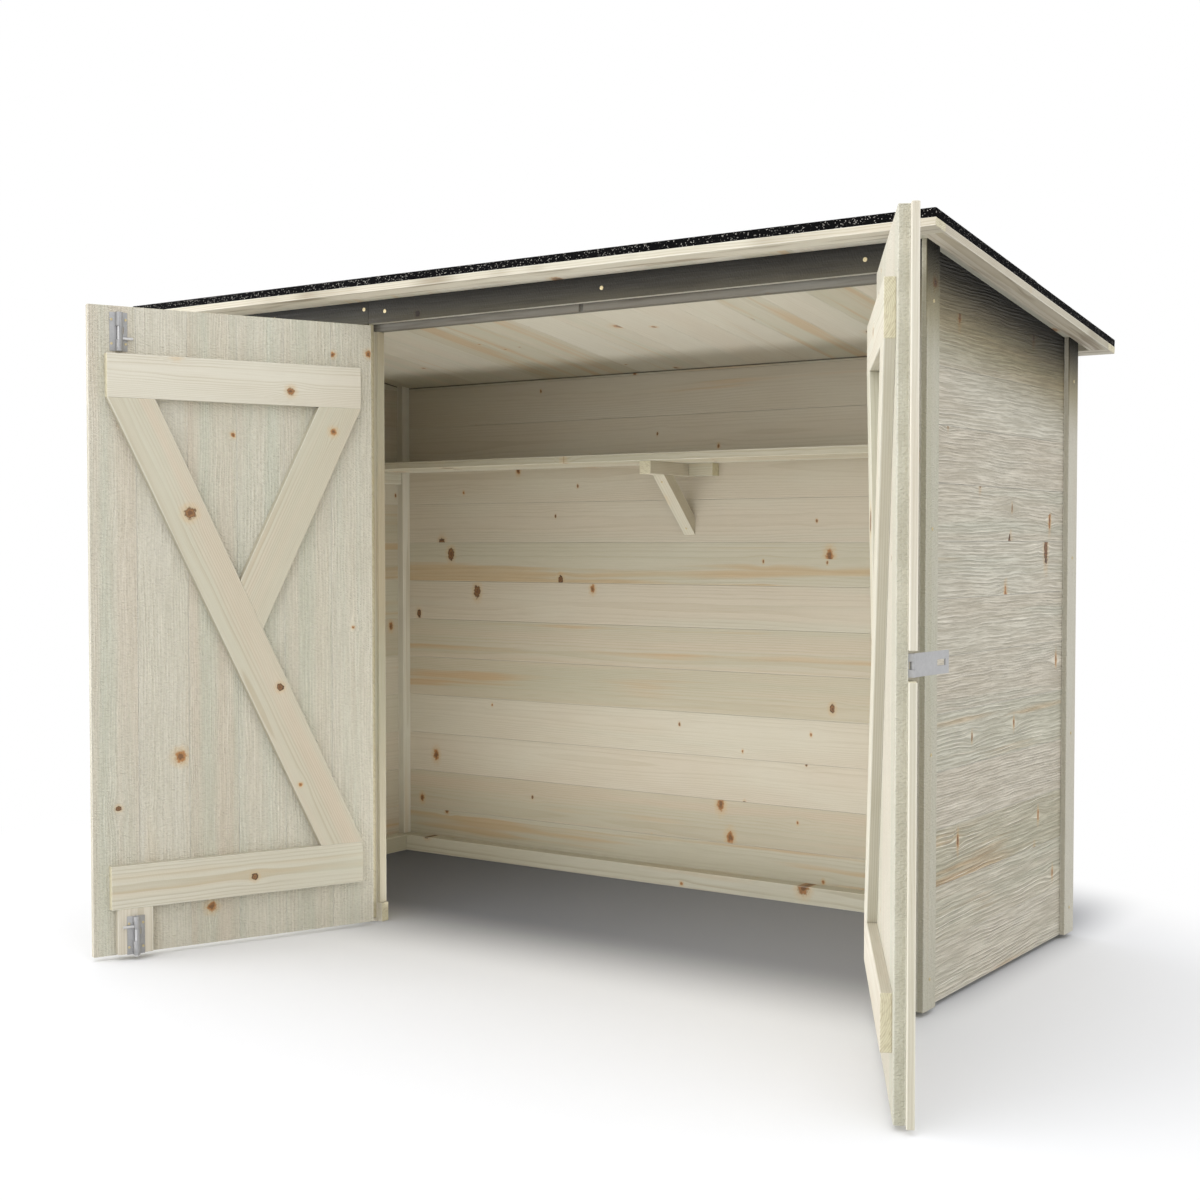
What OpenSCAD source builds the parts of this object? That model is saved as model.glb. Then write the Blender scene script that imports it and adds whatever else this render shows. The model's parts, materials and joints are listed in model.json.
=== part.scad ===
// Timber bike shelter: a lean-to box of horizontal boards under a felted pent roof,
// with a pair of ledged and braced doors, a bracketed shelf and no floor.
// Millimetres. +X to the right, +Y to the back, +Z up. The origin is the middle of
// the back sole plate's underside, on the ground.

/* [Building] */
// Width over the outer faces of the two side walls
body_w = 2050; // [1500:10:2600]
// Depth from the front boards' face to the back boards' face
body_d = 842; // [650:1:1400]
// Height of the roof boards' underside above the front boards' face
front_h = 1485; // [1300:5:2100]
// Fall of the roof towards the back, in degrees
roof_pitch = 7.7; // [4:0.1:12]
// Thickness of the wall boards
board_t = 19; // [14:1:28]
// Gap between the ground and the boards, trims and doors
ground_gap = 10; // [5:1:30]

/* [Frame timbers] */
// Depth of the sole plates under the side and back walls
plate_d = 45; // [34:1:60]
// Height of every sole plate
plate_h = 45; // [34:1:70]
// Depth of the timbers behind the front boards
frame_d = 28; // [22:1:60]
// Width of the front posts
post_w = 45; // [34:1:70]
// Width of the posts in the back corners
corner_post_w = 22; // [16:1:60]
// Depth of the posts in the back corners
corner_post_d = 30; // [20:1:60]
// How far the front posts stand into the door opening as stops
stop_lip = 8; // [6:1:20]
// How far the front sole plate runs past the left door post
plate_nose = 6; // [0:1:15]
// Width of the corner trims
trim_w = 57; // [40:1:90]
// Thickness of the corner trims and the cover strip
trim_t = 13; // [9:1:20]

/* [Door opening] */
// Width of the opening between the front boards
opening_w = 1350; // [1000:10:1700]
// Width of the board between the opening and the right side
right_stile_w = 62; // [55:1:120]
// Height of the lintel's lower edge
lintel_z = 1431; // [1190:1:1900]
// How far the stop beam hangs below the lintel
beam_drop = 16; // [10:1:40]

/* [Doors] */
// Gap between a door and the board beside its hinges
side_gap = 5; // [5:1:10]
// Gap between the two closed doors
meeting_gap = 12; // [6:1:16]
// Gap between the doors and the lintel
top_gap = 7; // [5:1:15]
// Room between a closed door and its stops, and between the cover strip and the left door
stop_gap = 5; // [5:1:8]
// Angle at which the left door stands open
left_open = 112.5; // [0:0.5:170]
// Angle at which the right door stands open
right_open = 118.3; // [0:0.1:170]
// Height of the ledges and width of the braces
ledge_w = 95; // [70:1:120]
// Thickness of the ledges and braces
ledge_t = 19; // [14:1:28]
// Distance from a door's edge to the ends of its ledges
ledge_inset = 35; // [20:1:60]
// Distance from a door's foot to its lower ledge
low_ledge_up = 102; // [80:1:200]
// Distance from a door's head down to its upper ledge
high_ledge_down = 104; // [60:1:200]
// How far the cover strip stands past the right door's edge
strip_past = 20; // [18:1:26]
// Width of the cover strip
strip_w = 58; // [45:1:80]
// Height of the gap that the cover strip leaves for the hasp
strip_break = 48; // [44:1:80]

/* [Hinges] */
// Length of a hinge strap
strap_l = 300; // [200:5:450]
// Height of a hinge strap at its knuckle
strap_h = 36; // [30:1:50]
// Thickness of the hinge leaves
leaf_t = 2.5; // [2:0.5:4]
// Outer radius of the hinge knuckles
knuckle_r = 4.5; // [4:0.5:8]
// Radius of the hinge pins
pin_r = 2.5; // [2:0.25:3]
// Radial play of a knuckle on its pin
pin_play = 0.1; // [0.05:0.01:0.1]
// Height of the frame leaf of a hinge
frame_leaf_h = 100; // [80:1:140]
// Width of the frame leaf of a hinge
frame_leaf_w = 36; // [25:1:45]
// Height of each hinge knuckle
knuckle_h = 20; // [15:1:30]
// Gap between two knuckles on one pin
knuckle_gap = 0.5; // [0.3:0.1:1]

/* [Bolts] */
// Width of a bolt's back plate
bolt_plate_w = 39; // [34:1:50]
// Length of a bolt's back plate
bolt_plate_h = 84; // [70:1:120]
// Thickness of a bolt's back plate
case_t = 1.5; // [1:0.5:3]
// Radius of a bolt's rod
rod_r = 5; // [4:0.5:6]
// Outer radius of a bolt's pressed barrel
barrel_r = 7.5; // [7:0.5:9]
// Radial play of a bolt's rod in its barrel
barrel_play = 0.9; // [0.5:0.1:1.5]
// Travel of a bolt
bolt_throw = 25; // [15:1:30]
// Radial room of the top bolt in its hole in the beam
socket_play = 1; // [0.5:0.5:2]
// Depth that the hole leaves beyond the top bolt's end
socket_spare = 3; // [1:1:8]
// How far the top bolt's rod stops above its case's lower end
top_rod_up = 8; // [0:1:15]
// How far the bottom bolt's rod stands below its case
low_rod_down = 4; // [0:1:4]
// Radius of a bolt's lever
lever_r = 3; // [2:0.5:4]
// Length of a bolt's lever outside the barrel
lever_l = 22; // [15:1:30]
// Room of the lever in its slot, lengthwise
lever_room = 1.2; // [0.5:0.1:3]
// Room of the lever in its slot, across
lever_side_room = 1; // [0.5:0.1:2]
// Height of the top bolt's lever above its case's lower end
top_lever_z = 27; // [20:1:35]
// Height of the bottom bolt's lever above its case's lower end
low_lever_z = 62; // [50:1:65]
// Distance from the left door's free edge to the top bolt
top_bolt_in = 66; // [50:1:120]
// Distance from the left door's free edge to the bottom bolt
low_bolt_in = 87; // [60:1:140]
// Width of the block under the bottom bolt
block_w = 78; // [60:1:110]
// How far the block stops above the door's foot
block_up = 3; // [0:1:10]
// How far the bottom bolt's case stops above the door's foot
low_case_up = 2; // [0:1:10]

/* [Hasp and staple] */
// Height of the hasp's middle
hasp_z = 721; // [400:1:1100]
// Angle at which the hasp leaf stands open from its latched place
hasp_open = 149; // [0:1:170]
// Distance from the right door's free edge to the hasp's pin
hasp_pin_in = 12; // [8:1:20]
// Distance from the right door's face to the middle of the hasp's pin
hasp_pin_out = 7.8; // [7.8:0.1:12]
// Radius of the hasp's pin
hasp_pin_r = 2; // [1.5:0.25:2.5]
// Outer radius of the hasp's knuckles
hasp_knuckle_r = 4; // [3.5:0.5:5]
// Length of the hasp leaf from its pin
hasp_l = 122; // [100:1:150]
// Height of the hasp leaf
hasp_h = 37; // [30:1:38]
// Thickness of the hasp leaf
hasp_t = 2.5; // [2:0.5:3]
// Length of the hasp's base beyond its knuckles
hasp_base_l = 48; // [35:1:70]
// Thickness of the plates of the hasp's base and of the staple
hasp_plate_t = 1.5; // [1:0.5:3]
// Length of the slot in the hasp leaf
slot_l = 29; // [26:1:36]
// Height of the slot in the hasp leaf
slot_h = 10; // [9:1:14]
// Distance from the hasp leaf's end to its slot
slot_end = 12; // [8:1:20]
// Radius of the staple's bar
staple_rod_r = 2.5; // [2:0.5:3]
// How far the middle of the staple's bar stands off the left door
staple_out = 20; // [17:1:25]
// Room between the staple and each end of the slot
slot_room = 3.5; // [2:0.5:5]
// How far the staple's plate runs past its legs' middles
staple_margin = 8; // [5:1:12]

/* [Roof] */
// Thickness of the roof boards
roof_t = 16; // [12:1:28]
// Thickness of the mineral felt
felt_t = 3; // [2:0.5:5]
// Width of the battens under the roof's edge
batten_w = 45; // [35:1:70]
// Thickness of the battens under the roof's edge
batten_t = 16; // [12:1:28]
// Overhang past the side trims
side_overhang = 65; // [30:1:200]
// Overhang past the front boards
front_overhang = 112; // [50:1:300]
// Overhang past the back boards
back_overhang = 61; // [30:1:200]
// Slit between two felt flaps at a corner of the roof
felt_slit = 2; // [1:0.5:5]
// Clearance of the sloping joints under the roof and its felt
slope_gap = 0.05; // [0.03:0.01:0.3]

/* [Shelf] */
// Height of the shelf's top
shelf_z = 1140; // [600:5:1300]
// Depth of the shelf
shelf_d = 228; // [150:1:350]
// Thickness of the shelf
shelf_t = 19; // [14:1:28]
// Height and width of the bracket's timbers, and height of the bearers
bracket_w = 33.5; // [25:0.5:50]
// Thickness of the bearers at the shelf's ends
bearer_t = 16; // [12:1:28]
// How far the bracket's arm stops behind the shelf's front edge
arm_back = 11; // [0:1:60]
// Length of the bracket's wall cleat
cleat_l = 179; // [120:1:300]
// Height of the bracket's brace, and its reach along the arm
brace_drop = 155; // [100:1:300]
// Clearance of the shelf around the corner posts
shelf_gap = 0.3; // [0.2:0.1:3]

/* [Hidden] */

// Walls and levels
half_w = body_w / 2;
inner_x = half_w - board_t;
back_y = plate_d / 2 + board_t;
front_y = back_y - body_d;
frame_y = front_y + board_t;
inner_back_y = back_y - board_t;
plate_front_y = inner_back_y - plate_d;
frame_back_y = frame_y + frame_d;
opening_right = half_w - right_stile_w;
opening_left = opening_right - opening_w;
beam_z = lintel_z - beam_drop;
function roof_z(y) = front_h - slope_gap - tan(roof_pitch) * (y - front_y);

// Doors
door_w = (opening_w - 2 * side_gap - meeting_gap) / 2;
door_top = lintel_z - top_gap;
low_ledge_z = ground_gap + low_ledge_up;
high_ledge_z = door_top - high_ledge_down - ledge_w;
brace_low = low_ledge_z + ledge_w;
brace_high = high_ledge_z;
pin_y = front_y - knuckle_r;
left_pin_x = opening_left + side_gap / 2;
right_pin_x = opening_right - side_gap / 2;
strip_break_low = hasp_z - strip_break / 2;
strip_break_high = hasp_z + strip_break / 2;

// Bolts, block, hasp and staple, in a door's own frame
bore_r = rod_r + barrel_play;
axis_off = case_t + bore_r;
rod_l = bolt_plate_h - top_rod_up;
top_case_low = beam_z - stop_gap - bolt_plate_h;
low_case_low = ground_gap + low_case_up;
block_low = ground_gap + block_up;
top_bolt_u = door_w - top_bolt_in;
low_bolt_u = door_w - low_bolt_in;
slot_mid = hasp_l - slot_end - slot_l / 2;
staple_u = door_w + hasp_pin_in + meeting_gap - slot_mid;
staple_half = slot_l / 2 - slot_room - staple_rod_r;

// Roof, laid out down the slope from the front boards' face
edge_x = half_w + trim_t + side_overhang;
slope_front = -front_overhang / cos(roof_pitch);
slope_back = (body_d + back_overhang) / cos(roof_pitch);

wood = "#cdc6b0";
end_wood = "#d2c9ac";
felt_black = "#17181a";
zinc = "#a3a5a8";

// ---------------------------------------------------------------- helpers

// A prism that runs along X, from an outline in Y and Z
module along_x(x0, x1, outline)
    translate([x0, 0, 0]) rotate([90, 0, 90]) linear_extrude(x1 - x0) polygon(outline);

// A box between two corners
module block(low, high)
    translate(low) cube(high - low);

// A piece that stands from z0 up to the roof boards, cut to their slope
module to_roof(x0, x1, y0, y1, z0)
    along_x(x0, x1, [[y0, z0], [y1, z0], [y1, roof_z(y1)], [y0, roof_z(y0)]]);

// The roof's own frame: y runs down the slope, z = 0 is the boards' underside
module on_roof()
    translate([0, front_y, front_h]) rotate([-roof_pitch, 0, 0]) children();

// A door's own frame: x from its hinge edge, y = 0 its outer face, z from the ground
module on_left_door()
    translate([left_pin_x, pin_y, 0]) rotate([0, 0, -left_open])
        translate([side_gap / 2, knuckle_r, 0]) children();

module on_right_door()
    translate([right_pin_x, pin_y, 0]) rotate([0, 0, right_open]) mirror([1, 0, 0])
        translate([side_gap / 2, knuckle_r, 0]) children();

// A flat timber on a door's inner face, from an outline in x and z
module on_inner_face(outline)
    translate([0, board_t + ledge_t, 0]) rotate([90, 0, 0])
        linear_extrude(ledge_t) polygon(outline);

// ---------------------------------------------------------------- walls

module back_wall() color(wood)
    to_roof(-half_w, half_w, inner_back_y, back_y, ground_gap);

module left_wall() color(wood)
    to_roof(-half_w, -inner_x, frame_y, inner_back_y, ground_gap);

module right_wall() color(wood)
    to_roof(inner_x, half_w, frame_y, inner_back_y, ground_gap);

module front_panel() color(wood)
    block([-half_w, front_y, ground_gap], [opening_left, frame_y, lintel_z]);

module panel_header() color(wood)
    to_roof(-half_w, opening_left, front_y, frame_y, lintel_z);

module door_lintel() color(wood)
    to_roof(opening_left, opening_right, front_y, frame_y, lintel_z);

module right_stile() color(wood)
    to_roof(opening_right, half_w, front_y, frame_y, ground_gap);

module corner_trims() color(wood)
    for (side = [-1, 1]) {
        x0 = min(side * half_w, side * (half_w + trim_t));
        to_roof(x0, x0 + trim_t, front_y, front_y + trim_w, ground_gap);
        to_roof(x0, x0 + trim_t, back_y - trim_w, back_y, ground_gap);
    }

// ---------------------------------------------------------------- frame timbers

// The beam behind the lintel, stepped back below it to leave room for the doors,
// with a hole for the top bolt
module stop_beam() color(wood)
    difference() {
        along_x(-inner_x, inner_x, [
            [frame_y + stop_gap, beam_z], [frame_back_y, beam_z],
            [frame_back_y, roof_z(frame_back_y)], [frame_y, roof_z(frame_y)],
            [frame_y, lintel_z], [frame_y + stop_gap, lintel_z]
        ]);
        translate([left_pin_x + side_gap / 2 + top_bolt_u, frame_y + axis_off, beam_z - 1])
            cylinder(h = bolt_throw + socket_spare + 1, r = rod_r + socket_play, $fn = 48);
    }

// A door post on its sole plate: the lip in the opening is stepped back from the door
module door_post(edge_x, side)
    translate([edge_x, 0, plate_h]) linear_extrude(beam_z - plate_h)
        polygon([
            [side * stop_lip, frame_y + stop_gap], [side * stop_lip, frame_back_y],
            [side * (stop_lip - post_w), frame_back_y], [side * (stop_lip - post_w), frame_y],
            [0, frame_y], [0, frame_y + stop_gap]
        ]);

module right_door_post() color(wood)
    door_post(opening_right, -1);

module front_panel_posts() color(wood) {
    door_post(opening_left, 1);
    block([-inner_x, frame_y, plate_h], [post_w - inner_x, frame_back_y, beam_z]);
}

module back_corner_posts() color(wood)
    for (side = [-1, 1]) {
        x0 = min(side * inner_x, side * (inner_x - corner_post_w));
        to_roof(x0, x0 + corner_post_w, inner_back_y - corner_post_d, inner_back_y, plate_h);
    }

module back_sole_plate() color(end_wood)
    block([-inner_x, plate_front_y, 0], [inner_x, inner_back_y, plate_h]);

module side_sole_plates() color(end_wood)
    for (side = [-1, 1]) {
        x0 = min(side * inner_x, side * (inner_x - plate_d));
        block([x0, frame_y, 0], [x0 + plate_d, plate_front_y, plate_h]);
    }

// The plate under the fixed panel, its nose stepped back from the left door
module front_sole_plate() color(end_wood) {
    nose_x = opening_left + stop_lip + plate_nose;
    linear_extrude(plate_h)
        polygon([
            [plate_d - inner_x, frame_y], [opening_left, frame_y],
            [opening_left, frame_y + stop_gap], [nose_x, frame_y + stop_gap],
            [nose_x, frame_back_y], [plate_d - inner_x, frame_back_y]
        ]);
}

// ---------------------------------------------------------------- roof

module roof_boards() color(wood)
    on_roof()
        block([felt_t + slope_gap - edge_x, slope_front + felt_t + slope_gap, 0],
              [edge_x - felt_t - slope_gap, slope_back - felt_t - slope_gap, roof_t - slope_gap]);

// Felt over the boards and down their four edges, slit at the corners
module roof_felt() color(felt_black)
    on_roof() {
        flap_x = edge_x - felt_t - felt_slit;
        flap_y0 = slope_front + felt_t + felt_slit;
        flap_y1 = slope_back - felt_t - felt_slit;
        union() {
            block([-edge_x, slope_front, roof_t], [edge_x, slope_back, roof_t + felt_t]);
            block([-flap_x, slope_front, 0], [flap_x, slope_front + felt_t, roof_t + 1]);
            block([-flap_x, slope_back - felt_t, 0], [flap_x, slope_back, roof_t + 1]);
            block([-edge_x, flap_y0, 0], [felt_t - edge_x, flap_y1, roof_t + 1]);
            block([edge_x - felt_t, flap_y0, 0], [edge_x, flap_y1, roof_t + 1]);
        }
    }

module roof_eaves_battens() color(wood)
    on_roof()
        for (y0 = [slope_front, slope_back - batten_w])
            block([-edge_x, y0, -batten_t], [edge_x, y0 + batten_w, 0]);

module roof_verge_battens() color(wood)
    on_roof()
        for (x0 = [-edge_x, edge_x - batten_w])
            block([x0, slope_front + batten_w, -batten_t],
                  [x0 + batten_w, slope_back - batten_w, 0]);

// ---------------------------------------------------------------- shelf

module shelf() color(wood) {
    shelf_front = inner_back_y - shelf_d;
    notch_x = inner_x - corner_post_w - shelf_gap;
    notch_y = inner_back_y - corner_post_d - shelf_gap;
    translate([0, 0, shelf_z - shelf_t]) linear_extrude(shelf_t)
        polygon([
            [-inner_x, shelf_front], [inner_x, shelf_front], [inner_x, notch_y],
            [notch_x, notch_y], [notch_x, inner_back_y], [-notch_x, inner_back_y],
            [-notch_x, notch_y], [-inner_x, notch_y]
        ]);
}

module shelf_bearers() color(wood)
    for (side = [-1, 1]) {
        x0 = min(side * inner_x, side * (inner_x - bearer_t));
        block([x0, inner_back_y - shelf_d + arm_back, shelf_z - shelf_t - bracket_w],
              [x0 + bearer_t, inner_back_y - corner_post_d, shelf_z - shelf_t]);
    }

module bracket_cleat() color(wood)
    difference() {
        block([-cleat_l / 2, inner_back_y - bracket_w, shelf_z - shelf_t - bracket_w],
              [cleat_l / 2, inner_back_y, shelf_z - shelf_t]);
        // half lap over the arm's end
        block([-bracket_w / 2, inner_back_y - bracket_w - 1, shelf_z - shelf_t - bracket_w - 1],
              [bracket_w / 2, inner_back_y + 1, shelf_z - shelf_t - bracket_w / 2]);
    }

module bracket_arm() color(wood) {
    low_z = shelf_z - shelf_t - bracket_w;
    top_z = shelf_z - shelf_t;
    cleat_y = inner_back_y - bracket_w;
    along_x(-bracket_w / 2, bracket_w / 2, [
        [inner_back_y - shelf_d + arm_back, low_z], [inner_back_y, low_z],
        [inner_back_y, top_z - bracket_w / 2], [cleat_y, top_z - bracket_w / 2],
        [cleat_y, top_z], [inner_back_y - shelf_d + arm_back, top_z]
    ]);
}

// The 45 degree brace, cut level under the arm and upright against the wall
module bracket_brace() color(wood) {
    top_z = shelf_z - shelf_t - bracket_w;
    run = bracket_w * sqrt(2);
    along_x(-bracket_w / 2, bracket_w / 2, [
        [inner_back_y - brace_drop, top_z], [inner_back_y, top_z - brace_drop],
        [inner_back_y, top_z - brace_drop + run], [inner_back_y - brace_drop + run, top_z]
    ]);
}

// ---------------------------------------------------------------- hinges

hinge_levels = [low_ledge_z + ledge_w / 2, high_ledge_z + ledge_w / 2];

// Frame leaf with two knuckles and the pin, x towards the door, pin at the origin
module hinge_plate() {
    leaf_x = -knuckle_r - 1;
    union() {
        block([leaf_x - frame_leaf_w, knuckle_r - leaf_t, -frame_leaf_h / 2],
              [leaf_x, knuckle_r, frame_leaf_h / 2]);
        for (z0 = [-1.5 * knuckle_h, knuckle_h / 2])
            translate([0, 0, z0]) {
                cylinder(h = knuckle_h, r = knuckle_r, $fn = 48);
                block([leaf_x - 1, knuckle_r - leaf_t, 0], [0, knuckle_r, knuckle_h]);
            }
        translate([0, 0, -1.5 * knuckle_h])
            cylinder(h = 3 * knuckle_h, r = pin_r, $fn = 48);
    }
}

// Tapered strap with the middle knuckle, x along the door, pin at the origin
module hinge_strap() {
    neck_h = knuckle_h - 2 * knuckle_gap;
    root_x = knuckle_r + 1;
    tip_h = strap_h * 0.6;
    difference() {
        union() {
            translate([0, knuckle_r, 0]) rotate([90, 0, 0]) linear_extrude(leaf_t)
                polygon([
                    [0, -neck_h / 2], [root_x, -neck_h / 2], [root_x, -strap_h / 2],
                    [strap_l - tip_h / 3, -tip_h / 2], [strap_l, 0],
                    [strap_l - tip_h / 3, tip_h / 2], [root_x, strap_h / 2],
                    [root_x, neck_h / 2], [0, neck_h / 2]
                ]);
            translate([0, 0, -neck_h / 2]) cylinder(h = neck_h, r = knuckle_r, $fn = 48);
        }
        translate([0, 0, -knuckle_h]) cylinder(h = 2 * knuckle_h, r = pin_r + pin_play, $fn = 48);
    }
}

module left_hinge_plates() color(zinc)
    for (z = hinge_levels) translate([left_pin_x, pin_y, z]) hinge_plate();

module right_hinge_plates() color(zinc)
    for (z = hinge_levels) translate([right_pin_x, pin_y, z]) mirror([1, 0, 0]) hinge_plate();

module left_hinge_straps() color(zinc)
    on_left_door()
        for (z = hinge_levels) translate([-side_gap / 2, -knuckle_r, z]) hinge_strap();

module right_hinge_straps() color(zinc)
    on_right_door()
        for (z = hinge_levels) translate([-side_gap / 2, -knuckle_r, z]) hinge_strap();

// ---------------------------------------------------------------- doors

// Boards of one door, in its own frame
module door_slab()
    block([0, 0, ground_gap], [door_w, board_t, door_top]);

// The two ledges of one door, in its own frame
module ledges()
    for (z0 = [low_ledge_z, high_ledge_z])
        block([ledge_inset, board_t, z0], [door_w - ledge_inset, board_t + ledge_t, z0 + ledge_w]);

// Level width of a brace: the brace leans from one ledge end to the other
brace_rise = brace_high - brace_low;
ledge_l = door_w - 2 * ledge_inset;
brace_slant = asin(ledge_w / sqrt(pow(ledge_l, 2) + pow(brace_rise, 2)));
brace_lean = atan(ledge_l / brace_rise) - brace_slant;
brace_level_w = ledge_w / cos(brace_lean);

// From the hinge side of the lower ledge to the free side of the upper one
module long_brace()
    on_inner_face([
        [ledge_inset, brace_low], [ledge_inset + brace_level_w, brace_low],
        [door_w - ledge_inset, brace_high],
        [door_w - ledge_inset - brace_level_w, brace_high]
    ]);

// From the hinge side of the upper ledge down to the long brace
module short_brace() {
    lean = tan(brace_lean);
    mid_z = (brace_low + brace_high) / 2;
    inner_z = mid_z + brace_level_w / (2 * lean);
    on_inner_face([
        [ledge_inset, brace_high], [ledge_inset + lean * (brace_high - mid_z), mid_z],
        [ledge_inset + lean * (inner_z - brace_low), inner_z],
        [ledge_inset + brace_level_w, brace_high]
    ]);
}

// The left door's free edge is stepped back where the cover strip laps it
module left_door_boards() color(wood)
    on_left_door() difference() {
        door_slab();
        block([door_w - strip_past + meeting_gap - stop_gap, -1, ground_gap - 1],
              [door_w + 1, stop_gap, door_top + 1]);
    }

module left_door_ledges() color(wood)
    on_left_door() ledges();

module left_long_brace() color(wood)
    on_left_door() long_brace();

module left_short_brace() color(wood)
    on_left_door() short_brace();

module bolt_block() color(wood)
    on_left_door()
        block([low_bolt_u - block_w / 2, board_t, block_low],
              [low_bolt_u + block_w / 2, board_t + ledge_t, low_ledge_z]);

module right_door_boards() color(wood)
    on_right_door() door_slab();

module right_door_ledges() color(wood)
    on_right_door() ledges();

module right_long_brace() color(wood)
    on_right_door() long_brace();

module right_short_brace() color(wood)
    on_right_door() short_brace();

// The strip that covers the gap between the doors, broken for the hasp
module cover_strips() color(wood)
    on_right_door()
        for (span = [[ground_gap, strip_break_low], [strip_break_high, door_top]])
            block([door_w + strip_past - strip_w, -trim_t, span[0]],
                  [door_w + strip_past, 0, span[1]]);

// ---------------------------------------------------------------- bolts

// Back plate with a pressed barrel, on a face at y = 0, z from its lower end.
// The lever's slot runs up the barrel on the side that lever_side names.
module bolt_case(lever_side, slot_low, slot_high)
    difference() {
        union() {
            block([-bolt_plate_w / 2, 0, 0], [bolt_plate_w / 2, case_t, bolt_plate_h]);
            intersection() {
                translate([0, axis_off, 0]) cylinder(h = bolt_plate_h, r = barrel_r, $fn = 64);
                block([-barrel_r, 0, 0], [barrel_r, axis_off + barrel_r, bolt_plate_h]);
            }
            block([-barrel_r, 0, 0], [barrel_r, axis_off, bolt_plate_h]);
        }
        translate([0, axis_off, -1])
            cylinder(h = bolt_plate_h + 2, r = bore_r, $fn = 64);
        block([min(0, lever_side * barrel_r * 2), axis_off - lever_r - lever_side_room, slot_low],
              [max(0, lever_side * barrel_r * 2), axis_off + lever_r + lever_side_room, slot_high]);
    }

// Rod with its lever, on the same face, z from the case's lower end
module bolt_rod(lever_side, rod_low, lever_z)
    union() {
        translate([0, axis_off, rod_low]) cylinder(h = rod_l, r = rod_r, $fn = 64);
        translate([0, axis_off, lever_z]) rotate([0, lever_side * 90, 0])
            cylinder(h = barrel_r + lever_l, r = lever_r, $fn = 40);
    }

module on_top_bolt()
    on_left_door() translate([top_bolt_u, board_t, top_case_low]) children();

module on_low_bolt()
    on_left_door() translate([low_bolt_u, board_t + ledge_t, low_case_low]) children();

module top_bolt_case() color(zinc)
    on_top_bolt()
        bolt_case(-1, top_lever_z - lever_r - lever_room,
                  top_lever_z + bolt_throw + lever_r + lever_room);

module bottom_bolt_case() color(zinc)
    on_low_bolt()
        bolt_case(1, low_lever_z - bolt_throw - lever_r - lever_room,
                  low_lever_z + lever_r + lever_room);

module top_bolt_rod() color(zinc)
    on_top_bolt() bolt_rod(-1, top_rod_up, top_lever_z);

module bottom_bolt_rod() color(zinc)
    on_low_bolt() bolt_rod(1, -low_rod_down, low_lever_z);

// ---------------------------------------------------------------- hasp

// Plate on the right door's outer face with two knuckles and the pin
module hasp_base() color(zinc)
    on_right_door() translate([door_w - hasp_pin_in, 0, hasp_z]) {
        lug_h = hasp_h / 3;
        union() {
            block([-hasp_base_l - hasp_knuckle_r, -hasp_plate_t, -hasp_h / 2],
                  [hasp_knuckle_r, 0, hasp_h / 2]);
            for (z0 = [-hasp_h / 2, hasp_h / 2 - lug_h]) translate([0, 0, z0]) {
                translate([0, -hasp_pin_out, 0])
                    cylinder(h = lug_h, r = hasp_knuckle_r, $fn = 48);
                block([-hasp_knuckle_r, -hasp_pin_out, 0], [hasp_knuckle_r, -hasp_plate_t / 2, lug_h]);
            }
            translate([0, -hasp_pin_out, -hasp_h / 2])
                cylinder(h = hasp_h, r = hasp_pin_r, $fn = 48);
        }
    }

// Slotted leaf with the middle knuckle
module hasp_leaf() color(zinc)
    on_right_door() translate([door_w - hasp_pin_in, -hasp_pin_out, hasp_z])
        rotate([0, 0, -hasp_open]) {
            neck_h = hasp_h / 3 - 2 * knuckle_gap;
            leaf_x = hasp_knuckle_r + 1;
            slot_x = slot_mid - slot_l / 2;
            difference() {
                union() {
                    block([leaf_x, -hasp_t / 2, -hasp_h / 2], [hasp_l, hasp_t / 2, hasp_h / 2]);
                    block([0, -hasp_t / 2, -neck_h / 2], [leaf_x + 1, hasp_t / 2, neck_h / 2]);
                    translate([0, 0, -neck_h / 2])
                        cylinder(h = neck_h, r = hasp_knuckle_r, $fn = 48);
                }
                translate([0, 0, -hasp_h]) cylinder(h = 2 * hasp_h, r = hasp_pin_r + pin_play, $fn = 48);
                block([slot_x, -hasp_t, -slot_h / 2], [slot_x + slot_l, hasp_t, slot_h / 2]);
            }
        }

// Staple on the left door's outer face: a plate and a square loop of round bar
module hasp_staple() color(zinc)
    on_left_door() translate([staple_u, 0, hasp_z])
        union() {
            block([-staple_half - staple_margin, -hasp_plate_t, -hasp_h / 2],
                  [staple_half + staple_margin, 0, hasp_h / 2]);
            for (side = [-1, 1])
                translate([side * staple_half, 0, 0]) rotate([90, 0, 0])
                    cylinder(h = staple_out, r = staple_rod_r, $fn = 40);
            translate([-staple_half - staple_rod_r, -staple_out, 0]) rotate([0, 90, 0])
                cylinder(h = 2 * (staple_half + staple_rod_r), r = staple_rod_r, $fn = 40);
        }

back_wall();
left_wall();
right_wall();
front_panel();
panel_header();
door_lintel();
right_stile();
stop_beam();
right_door_post();
front_panel_posts();
back_corner_posts();
back_sole_plate();
side_sole_plates();
front_sole_plate();
corner_trims();
roof_boards();
roof_felt();
roof_eaves_battens();
roof_verge_battens();
shelf();
shelf_bearers();
bracket_cleat();
bracket_arm();
bracket_brace();
left_hinge_plates();
right_hinge_plates();
left_door_boards();
left_door_ledges();
left_long_brace();
left_short_brace();
bolt_block();
left_hinge_straps();
top_bolt_case();
bottom_bolt_case();
hasp_staple();
top_bolt_rod();
bottom_bolt_rod();
right_door_boards();
right_door_ledges();
right_long_brace();
right_short_brace();
cover_strips();
right_hinge_straps();
hasp_base();
hasp_leaf();
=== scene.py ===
"""A lean-to bike shelter in softwood boards, with its doors open, made up on its CAD frame."""
import json
import math
import random

import bmesh
import bpy
from mathutils import Matrix, Vector


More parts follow.
